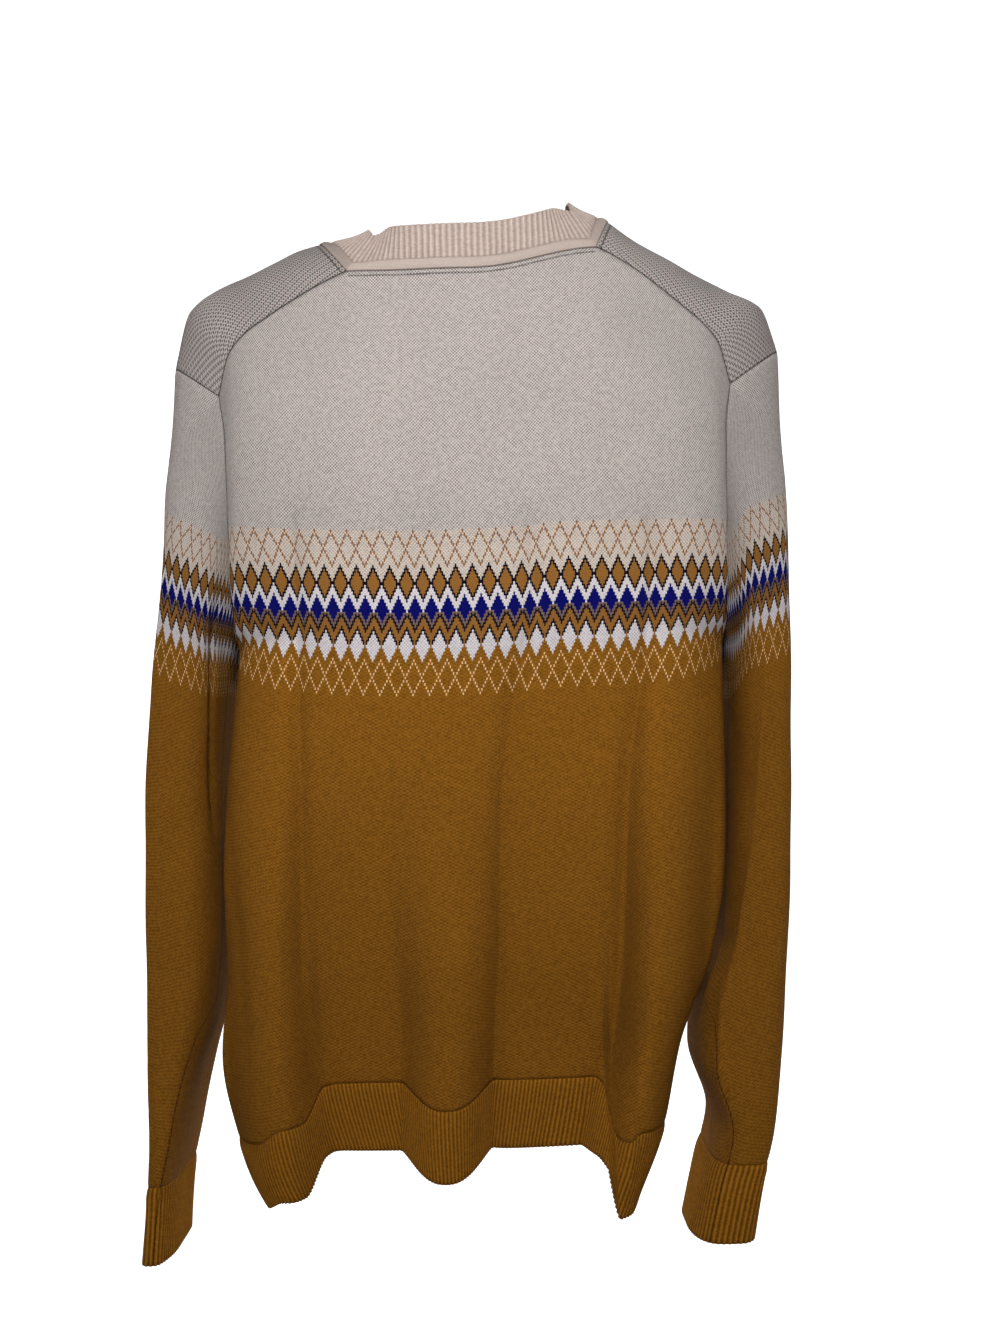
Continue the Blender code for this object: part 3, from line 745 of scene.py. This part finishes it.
CREAM = colour(210, 201, 194)
CREAM_WARM = colour(216, 202, 188)
LAVENDER = colour(122, 113, 114)
LAVENDER_DARK = colour(74, 66, 66)
WHITE = colour(224, 217, 220)
OCHRE = colour(161, 106, 29)
# OCHRE_DARK is the ochre's darker yarn, and the hem and cuff ribs also use it as painted shade
# between their ribs.
OCHRE_DARK = colour(98, 60, 6)
BROWN = colour(160, 108, 44)
BROWN_DARK = colour(102, 70, 44)
LINE_BROWN = colour(140, 92, 42)
GREY_BROWN = colour(118, 92, 78)
NAVY = colour(12, 7, 24)
BLUE = colour(3, 8, 104)
PEACH = colour(240, 196, 140)
BEIGE = colour(190, 174, 165)
# Painted shade between the collar's ribs.
BEIGE_RIB_SHADE = colour(148, 131, 122)
BEIGE_PLAIN_DARK = colour(176, 159, 148)


def knit_height(n, u, v):
    """Height of the stitches: columns of small slanting loops."""
    part = n.math("FRACT", u)
    leg = n.math("ABSOLUTE", n.sub(part, 0.5))
    slant = n.math("COSINE", n.mul(n.add(n.mul(v, 2.0), leg), 2 * math.pi))
    column = n.math("COSINE", n.mul(n.sub(leg, 0.25), 4 * math.pi))
    return n.add(n.mul(slant, 0.35), n.mul(column, 0.4))


def argyle_material(name, yoke=False):
    """Birdseye above, the patterned band, and ochre below, from a chart worked out by
    rules. It repeats every ten stitches, and its row 0 is the band's first. i is the
    stitch, d how many stitches it is from the points' column, r the row and step the
    half row. half is a row that starts half a row higher."""
    n = Nodes(name)
    u, v = n.uv()
    i = n.math("FLOOR", u)
    d = n.math("ABSOLUTE", n.sub(n.math("FLOORED_MODULO", n.add(i, 5.0), 10.0), 5.0))
    r = n.math("FLOOR", v)
    half = n.sub(n.math("FLOOR", n.add(v, 0.5)), 0.5)
    fine = n.math("FLOOR", n.mul(v, 2.0))
    step = n.mul(fine, 0.5)
    spot = n.math("FLOORED_MODULO", n.add(i, fine), 2.0)
    luck = n.random(i, fine)
    mottle = n.mul(n.sub(n.noise(n.vector(u, n.mul(v, 2.0)), 0.30, 3.0), 0.5), 0.7)

    # Birdseye: two yarns, stitch by stitch. On the yoke the dark ones stand apart.
    if yoke:
        apart = n.math("FLOORED_MODULO", n.add(i, r), 2.0)
        dark = n.both(apart, n.near(step, r, 0.1))
        dots = n.mix(n.both(n.below(r, -0.5), dark), CREAM, LAVENDER_DARK)
        plain = n.mix(n.add(0.25, n.mul(spot, 0.5)), dots, LAVENDER)
        birdseye = n.mix(dark, plain, LAVENDER_DARK)
    else:
        share = n.add(n.add(0.66, n.mul(luck, 0.34)), mottle)
        birdseye = n.mix(n.add(n.mul(spot, share), n.mul(mottle, 0.5)), CREAM, LAVENDER)
    # Ochre: two close tones in a slanting pattern.
    slope = n.math("FLOORED_MODULO", n.add(i, n.mul(fine, 2.0)), 4.0)
    darker = n.add(n.add(n.mul(n.below(slope, 1.5), 0.4), n.mul(luck, 0.5)), n.mul(mottle, 0.6))
    ochre = n.mix(darker, OCHRE, OCHRE_DARK)
    brown = n.mix(n.add(n.mul(spot, 0.3), n.mul(luck, 0.3)), BROWN, BROWN_DARK)
    fewer = n.math("MAXIMUM", n.sub(0.45, n.mul(r, 0.03)), 0.25)
    specked = n.mul(spot, n.add(fewer, n.mul(luck, 0.4)))

    # Open diamonds, rows 0 to 10, on a warmer ground.
    in_band = n.above(r, -0.5)
    base = n.mix(in_band, birdseye, n.mix(specked, CREAM_WARM, LAVENDER))
    lattice = n.both(
        n.either(n.near(step, n.add(d, 0.25), 0.6), n.near(step, n.sub(10.25, d), 0.6)),
        in_band,
        n.below(r, 10.5),
    )
    base = n.mix(lattice, base, LINE_BROWN)
    # Brown diamonds with dark outlines round row 15, on a white zigzag.
    up = n.sub(15.0, d)
    down = n.add(15.0, d)
    fill = n.both(n.above(r, up), n.below(r, down))
    base = n.mix(fill, base, brown)
    white = n.above(r, n.add(15.5, d))
    base = n.mix(white, base, n.mix(n.mul(specked, 0.6), WHITE, LAVENDER))
    beside = n.either(n.near(step, n.add(up, 1.0), 0.1), n.near(step, n.sub(down, 0.5), 0.1))
    outline = n.either(
        n.both(n.near(r, up), n.either(n.above(d, 0.5), n.near(step, up, 0.1))),
        n.both(n.near(r, down), n.either(n.above(d, 0.5), n.near(step, n.add(down, 0.5), 0.1))),
        n.both(beside, n.above(d, 0.5)),
    )
    base = n.mix(outline, base, NAVY)
    # Blue diamonds on a greyish zigzag.
    under_white = n.above(r, n.add(18.5, d))
    base = n.mix(under_white, base, n.mix(n.mul(spot, 0.5), GREY_BROWN, LAVENDER))
    blue = n.either(
        n.both(under_white, n.below(r, 23.5)),
        n.both(n.below(r, n.sub(26.5, d)), n.above(r, 23.5), n.below(d, 2.5)),
    )
    base = n.mix(blue, base, n.mix(n.mul(luck, 0.3), BLUE, NAVY))
    # A brown zigzag between two dark lines.
    first = n.math("MAXIMUM", n.sub(29.0, d), 25.0)
    base = n.mix(n.above(r, n.sub(first, 0.5)), base, brown)
    zigzag = n.either(n.both(n.near(step, first, 0.6), n.below(d, 4.5)), n.near(step, first, 0.1))
    base = n.mix(zigzag, base, NAVY)
    second = n.sub(33.5, d)
    # White diamonds, which end in the ochre's points.
    low_white = n.mix(n.mul(specked, 0.9), WHITE, LAVENDER)
    base = n.mix(n.above(half, n.sub(second, 0.25)), base, low_white)
    base = n.mix(n.both(n.near(step, second, 0.6), n.above(d, 0.5)), base, NAVY)
    base = n.mix(n.above(half, n.add(32.75, d)), base, ochre)
    # Open diamonds of single pale stitches, down to row 48.
    dot = n.both(
        n.below(n.math("ABSOLUTE", n.sub(n.math("FRACT", u), 0.5)), 0.40),
        n.below(n.math("ABSOLUTE", n.sub(n.math("FRACT", n.add(v, 0.5)), 0.5)), 0.36),
    )
    dotted = n.both(
        n.either(n.near(half, n.add(37.5, d), 0.3), n.near(half, n.sub(47.5, d), 0.3)),
        n.above(half, 37.0),
        n.below(half, 48.0),
        dot,
    )
    base = n.mix(dotted, base, PEACH)

    # Seams: a dark line on sewn edges, and stitches along the neck and under the arm.
    every_other = n.add(0.45, n.mul(n.math("FLOORED_MODULO", i, 2.0), 0.55))
    sewn = n.thread(n.attribute("gap"), 0.0007)
    thread = n.mul(n.thread(n.attribute("line"), 0.0010), every_other)
    height = n.add(knit_height(n, u, v), n.mul(luck, 0.2))
    height = n.sub(height, n.mul(n.either(sewn, thread), 1.2))
    shade = n.add(0.93, n.mul(luck, 0.10))
    cloud = n.noise(n.place(), 9.0, 2.0)
    shade = n.mul(shade, n.add(0.92, n.mul(cloud, 0.16)))
    shade = n.mul(shade, n.sub(1.0, n.mul(sewn, 0.5)))
    shade = n.mul(shade, n.sub(1.0, n.mul(thread, 0.75)))
    return n.finish(n.scale_colour(base, shade), height, 0.0004)


def rib_material(name, light, dark, per_rib):
    """Ribbed knit: stitches on the ribs, and painted shade in the dark colour between them."""
    n = Nodes(name)
    u, v = n.uv()
    i = n.math("FLOOR", n.mul(u, per_rib))
    fine = n.math("FLOOR", n.mul(v, 2.0))
    luck = n.random(i, fine)
    wave = n.add(0.5, n.mul(n.math("COSINE", n.mul(u, 2 * math.pi)), 0.5))
    # Painted shade: the colour darkens towards the hollows between the ribs, with some random
    # tone from luck.
    base = n.mix(n.add(n.mul(wave, -0.8), n.add(0.8, n.mul(luck, 0.3))), light, dark)
    thread = n.thread(n.attribute("line"), 0.0007)
    height = n.sub(knit_height(n, n.mul(u, per_rib), v), thread)
    cloud = n.noise(n.place(), 11.0, 2.0)
    shade = n.mul(n.add(0.92, n.mul(cloud, 0.16)), n.sub(1.0, n.mul(thread, 0.5)))
    return n.finish(n.scale_colour(base, shade), height, 0.0003)


def plain_material(name, light, dark):
    """Plain knit in two close tones."""
    n = Nodes(name)
    u, v = n.uv()
    luck = n.random(n.math("FLOOR", u), n.math("FLOOR", n.mul(v, 2.0)))
    base = n.mix(n.mul(luck, 0.5), light, dark)
    sewn = n.thread(n.attribute("gap"), 0.0006)
    shade = n.sub(1.0, n.mul(sewn, 0.3))
    return n.finish(n.scale_colour(base, shade), knit_height(n, u, v), 0.0003)


# ---------------------------------------------------------------- body
def body_uv(grid):
    """Stitch coordinates of a panel: along its rows from the middle, and down its columns
    from where the band starts."""
    middle = grid.shape[1] // 2
    across = lengths(grid, 1)
    u = across - across[:, middle : middle + 1]
    # Under the arms the stitches run straight down.
    u[:LOW_CELLS] = u[LOW_CELLS][None, :]
    up = lengths(grid, 0)
    above = grid[:, :, 2] - np.interp(grid[:, :, 0], BAND_X, BAND_Z)
    v = np.zeros(grid.shape[:2])
    for c in range(grid.shape[1]):
        v[:, c] = np.interp(0, above[:, c], up[:, c]) - up[:, c]
    return u / WALE, v / ROW


def body():
    """The panels' grids for make_piece, the armholes' rings, and the ring of the neck."""
    low = np.linspace(RIB_TOP_Z, UNDERARM_Z, LOW_CELLS + 1)
    high = np.linspace(UNDERARM_Z, CORNER_Z, ARM_CELLS + 1)
    heights = np.concatenate([low, high[1:]])
    s = SHOULDER_CELLS
    neck_end = s + NECK_CELLS + 1
    back = np.array([panel_row("back", z, s, NECK_CELLS) for z in heights])
    front = np.array([panel_row("front", z, s, NECK_CELLS)[::-1] for z in heights])
    left_seam = back[-1, : s + 1]
    right_seam = back[-1, -(s + 1) :]
    left_front = front[-1, ::-1][: s + 1]
    right_front = front[-1, ::-1][-(s + 1) :]
    left_over = over_shoulder("left", left_seam, left_front, OVER_CELLS)
    right_over = over_shoulder("right", right_seam, right_front, OVER_CELLS)
    loops = {}
    for which, column, over in (("left", 0, left_over[1:, 0]), ("right", -1, right_over[1:, -1])):
        back_edge = back[LOW_CELLS:, column]
        front_edge = front[LOW_CELLS + 1 : -1, -1 - column][::-1]
        loops[which] = np.concatenate([back_edge, over, front_edge])
    neck = np.concatenate(
        [
            back[-1, s:neck_end],
            right_over[1:, 0],
            front[-1, s + 1 : neck_end],
            left_over[1:-1, -1][::-1],
        ]
    )
    panels = {}
    for name, grid in (("back", back), ("front", front)):
        u, v = body_uv(grid)
        gap = edge_gap(grid, top=name == "back", left=True, right=True)
        up = lengths(grid, 0)
        line = np.ones(gap.shape)
        line[:, s:neck_end] = (up[-1:] - up)[:, s:neck_end] - NECK_STITCHES
        drawn_in = edge_gap(grid, bottom=True, top=name == "back", left=True, right=True)
        panels[name] = (sink(grid, drawn_in, SUNK), u, v, gap, line)
    skin, u, v = panels["front"][:3]
    pieces = [panels["front"]]
    # The shoulder parts carry on the front's columns, so their stitches do too.
    columns = skin.shape[1]
    for grid, columns_of, neck_at in (
        (left_over, np.arange(columns - 1, columns - 2 - s, -1), -1),
        (right_over, np.arange(s, -1, -1), 0),
    ):
        up = lengths(grid, 0)
        gap = edge_gap(grid, bottom=True, left=True, right=True)
        across = lengths(grid, 1)
        line = np.abs(across[:, neck_at][:, None] - across) - NECK_STITCHES
        lined = sink(grid, gap, SUNK)
        lined[-1] = skin[-1, columns_of]
        over_u = u[-1, columns_of][None, :] + np.zeros((OVER_CELLS + 1, 1))
        over_v = v[-1, columns_of][None, :] + (up - up[-1:]) / ROW
        pieces.append((lined, over_u, over_v, gap, line))
    return {"back": [panels["back"]], "front": pieces}, loops, neck


def ribbed(grid, to_a_rib, fade, closed, side=1.0):
    """Ribs on a grid with so many columns to a rib, fading as given for each row. side
    is -1 where the grid's normals face in."""
    wave = 0.5 + 0.5 * np.cos(2 * math.pi * np.arange(grid.shape[1]) / to_a_rib)
    rise = RIB_RISE * side * fade[:, None] * (wave**0.8)[None, :]
    return grid + grid_normals(grid, closed) * rise[..., None]


def rib_uv(cells, to_a_rib, rows):
    """Counts of ribs along the rows."""
    return np.arange(cells + 1)[None, :] / to_a_rib + np.zeros((rows, 1))


def far_from(grid):
    """A gap or line that is nowhere near."""
    return np.ones(grid.shape[:2])


looks = {
    "back": argyle_material("argyle_knit_back"),
    "front": argyle_material("argyle_knit_front", yoke=True),
    "sleeves": argyle_material("argyle_knit_sleeves"),
    # The ribs' second colours are painted shade between the ribs.
    "hem": rib_material("ochre_rib", OCHRE, OCHRE_DARK, 2.0),
    "collar": rib_material("beige_rib", BEIGE, BEIGE_RIB_SHADE, 2.0),
    "band": plain_material("beige_band", BEIGE, BEIGE_PLAIN_DARK),
}

grids, loops, neck = body()
back_panel = make_piece("back_cloth", grids["back"], looks["back"])
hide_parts("back_panel")
front_panel = make_piece("front_cloth", grids["front"], looks["front"])
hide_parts("front_panel")

# Hem ribs: rows from the hem up. The last row is tucked in behind the panel.
for side, node in (("back", "hem_rib_back"), ("front", "hem_rib_front")):
    heights = np.linspace(HEM_Z, RIB_TOP_Z + TUCK, HEM_CELLS + 1)
    strip = np.array([panel_row(side, z, HEM_SHOULDER_CELLS, HEM_NECK_CELLS) for z in heights])
    if side == "front":
        strip = strip[:, ::-1]
    fade = np.clip((HEM_CELLS - np.arange(HEM_CELLS + 1)) / 2, 0, 1)
    ribs = ribbed(strip, HEM_RIB_CELLS, fade, False)
    ribs[-1] = ribs[-1] - grid_normals(strip)[-1] * BEHIND
    u = rib_uv(strip.shape[1] - 1, HEM_RIB_CELLS, HEM_CELLS + 1)
    v = -lengths(strip, 0) / ROW
    grid = (ribs, u, v, far_from(u), far_from(u))
    piece = make_piece(node + "_cloth", [grid], looks["hem"], RIB_CLOTH)
    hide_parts(node)

# Sleeves and cuffs. The right ones' rings run the other way round, so their normals
# face in and their grids are turned over.
for which in ("left", "right"):
    end = CUFF_SEAM_Z[which]
    flip = 1.0 if which == "left" else -1.0
    tube, line = sleeve_rows(which, loops[which], end, SLEEVE_CELLS)
    tube = close(tube)
    line = close(line)
    columns = tube.shape[1]
    across = lengths(tube, 1)
    # Stitches are counted from the outer line, so the inner seam cuts them off.
    u = (across - across[:, columns // 2][:, None]) / WALE
    away = np.abs(tube[:, :, 0])
    outer = away.max(axis=1)[:, None]
    inner = away.min(axis=1)[:, None]
    inward = (outer - away) / (outer - inner)
    level = np.interp(inward, np.linspace(0, 1, 5), BAND_ON_SLEEVE[which])
    below = level - tube[:, :, 2]
    down = lengths(tube, 0)
    v = np.zeros(tube.shape[:2])
    for c in range(columns):
        start = np.interp(0, below[:, c], down[:, c])
        v[:, c] = np.where(below[:, c] > 0, below[:, c], down[:, c] - start) / ROW
    gap = edge_gap(tube, bottom=True)
    skin = sink(tube, edge_gap(tube, bottom=True, top=True), SUNK * flip, True)
    grid = (skin, u, v, gap, line)
    if which == "right":
        grid = tuple(part[::-1] for part in grid)
    piece = make_piece("sleeve_" + which + "_cloth", [grid], looks["sleeves"])
    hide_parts("sleeve_" + which)

    count = CUFF_RIBS * RIB_CELLS
    low = end - CUFF_HEIGHT
    rings, line = sleeve_rows(which, loops[which], low, CUFF_CELLS, start_z=end + TUCK)
    both = np.concatenate([rings, line[:, :, None]], axis=2)
    both = np.array([even(row, count) for row in close(both)])
    cuff = both[:, :, :3]
    fade = np.clip(np.arange(CUFF_CELLS + 1) / 2, 0, 1)
    ribs = ribbed(cuff, RIB_CELLS, fade, True, flip)
    ribs[0] = ribs[0] - grid_normals(cuff, True)[0] * BEHIND * flip
    u = rib_uv(count, RIB_CELLS, CUFF_CELLS + 1)
    v = lengths(cuff, 0) / ROW
    grid = (ribs, u, v, far_from(u), both[:, :, 3])
    if which == "right":
        grid = tuple(part[::-1] for part in grid)
    piece = make_piece("cuff_" + which + "_cloth", [grid], looks["hem"], RIB_CLOTH)
    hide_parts("cuff_" + which)

# Collar. The strip laps over the panels, and the ribs are tucked in behind the strip.
count = COLLAR_RIBS * RIB_CELLS
loop = even(close(neck[None])[0], count)
strip = collar_rows(loop, np.linspace(-TUCK, BAND_HEIGHT, len(STRIP_BULGE)))
band = strip + grid_normals(strip, True) * np.array(STRIP_BULGE)[:, None, None]
u = lengths(band, 1) / WALE
v = lengths(band, 0) / ROW
grid = (band, u, v, edge_gap(strip, bottom=True), far_from(u))
piece = make_piece("collar_band_cloth", [grid], looks["band"], RIB_CLOTH)
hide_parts("collar_band")

heights = BAND_HEIGHT + COLLAR_HEIGHT * np.linspace(-0.05, 1, COLLAR_CELLS + 1)
strip = collar_rows(loop, heights)
fade = np.clip(np.arange(COLLAR_CELLS + 1) / 2, 0, 1)
ribs = ribbed(strip, RIB_CELLS, fade, True)
ribs[0] = ribs[0] - grid_normals(strip, True)[0] * COLLAR_BEHIND
u = rib_uv(count, RIB_CELLS, COLLAR_CELLS + 1)
v = lengths(strip, 0) / ROW
grid = (ribs, u, v, far_from(u), far_from(u))
piece = make_piece("collar_rib_cloth", [grid], looks["collar"], COLLAR_CLOTH)
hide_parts("collar_rib")


# ---------------------------------------------------------------- stage, light, camera
FLOOR_Z = -1.05
BACKDROP_Y = 2.3
SWEEP = 0.7  # radius of the curve between the floor and the backdrop
SWEEP_CELLS = 12
GLOW = 0.80  # the far floor and the backdrop glow, from the first of these y to the second
GLOW_FROM = (0.30, 0.50)
EYE = (0.0135, -1.25, -0.315)
ROLL = 1.4  # how far the camera leans, in degrees
FRAME_HEIGHT = 0.9975  # how much the frame takes in at the origin, 1.25 m from the eye


def stage_sweep():
    """A pale floor that curves up into a backdrop."""
    profile = [(-2.6, FLOOR_Z)]
    for k in range(SWEEP_CELLS + 1):
        a = -math.pi / 2 + math.pi / 2 * k / SWEEP_CELLS
        y = BACKDROP_Y - SWEEP + SWEEP * math.cos(a)
        profile.append((y, FLOOR_Z + SWEEP + SWEEP * math.sin(a)))
    profile.append((BACKDROP_Y, 2.4))
    points = [(x, y, z) for x in (-4.0, 4.0) for y, z in profile]
    n = len(profile)
    faces = [(k, k + 1, n + k + 1, n + k) for k in range(n - 1)]
    mesh = bpy.data.meshes.new("floor")
    mesh.from_pydata(points, [], faces)
    mesh.shade_smooth()
    floor = bpy.data.objects.new("floor", mesh)
    bpy.context.collection.objects.link(floor)
    material = bpy.data.materials.new("floor")
    material.use_nodes = True
    tree = material.node_tree
    shader = tree.nodes["Principled BSDF"]
    shader.inputs["Base Color"].default_value = (0.9, 0.9, 0.9, 1)
    shader.inputs["Roughness"].default_value = 0.9
    shader.inputs["Emission Color"].default_value = (1, 1, 1, 1)
    place = tree.nodes.new("ShaderNodeTexCoord")
    parts = tree.nodes.new("ShaderNodeSeparateXYZ")
    glow = tree.nodes.new("ShaderNodeMapRange")
    glow.inputs["From Min"].default_value = GLOW_FROM[0]
    glow.inputs["From Max"].default_value = GLOW_FROM[1]
    glow.inputs["To Min"].default_value = 0.0
    glow.inputs["To Max"].default_value = GLOW
    tree.links.new(place.outputs["Object"], parts.inputs[0])
    tree.links.new(parts.outputs[1], glow.inputs["Value"])
    tree.links.new(glow.outputs[0], shader.inputs["Emission Strength"])
    mesh.materials.append(material)


def area_light(name, place, aim, size, power, spread=180):
    """A square light at place that faces aim."""
    light = bpy.data.lights.new(name, "AREA")
    light.shape = "SQUARE"
    light.size = size
    light.energy = power
    light.spread = math.radians(spread)
    lamp = bpy.data.objects.new(name, light)
    lamp.location = place
    way = np.array(aim) - np.array(place)
    tilt = math.atan2(math.hypot(way[0], way[1]), -way[2])
    lamp.rotation_euler = (tilt, 0, math.atan2(way[1], way[0]) - math.pi / 2)
    bpy.context.collection.objects.link(lamp)


stage_sweep()
area_light("key", (0.02, -1.38, 0.36), (-0.01, -0.08, -0.14), 0.45, 5.4, 74)
area_light("fill", (-1.2, -1.5, 0.5), (0, 0, -0.2), 1.2, 3.4)
area_light("back", (0.2, 1.3, 1.2), (0, 0, -0.3), 1.4, 12)
world = bpy.data.worlds.new("studio")
bpy.context.scene.world = world
world.use_nodes = True
background = world.node_tree.nodes["Background"]
background.inputs["Color"].default_value = (1, 1, 1, 1)
background.inputs["Strength"].default_value = 0.08
bpy.context.scene.view_settings.view_transform = "Standard"

camera = bpy.data.cameras.new("camera")
camera.sensor_fit = "VERTICAL"
camera.sensor_height = 36
camera.lens = 36 * 1.25 / FRAME_HEIGHT
view = bpy.data.objects.new("camera", camera)
view.location = EYE
view.rotation_euler = (math.pi / 2, math.radians(ROLL), 0)
bpy.context.collection.objects.link(view)
bpy.context.scene.camera = view
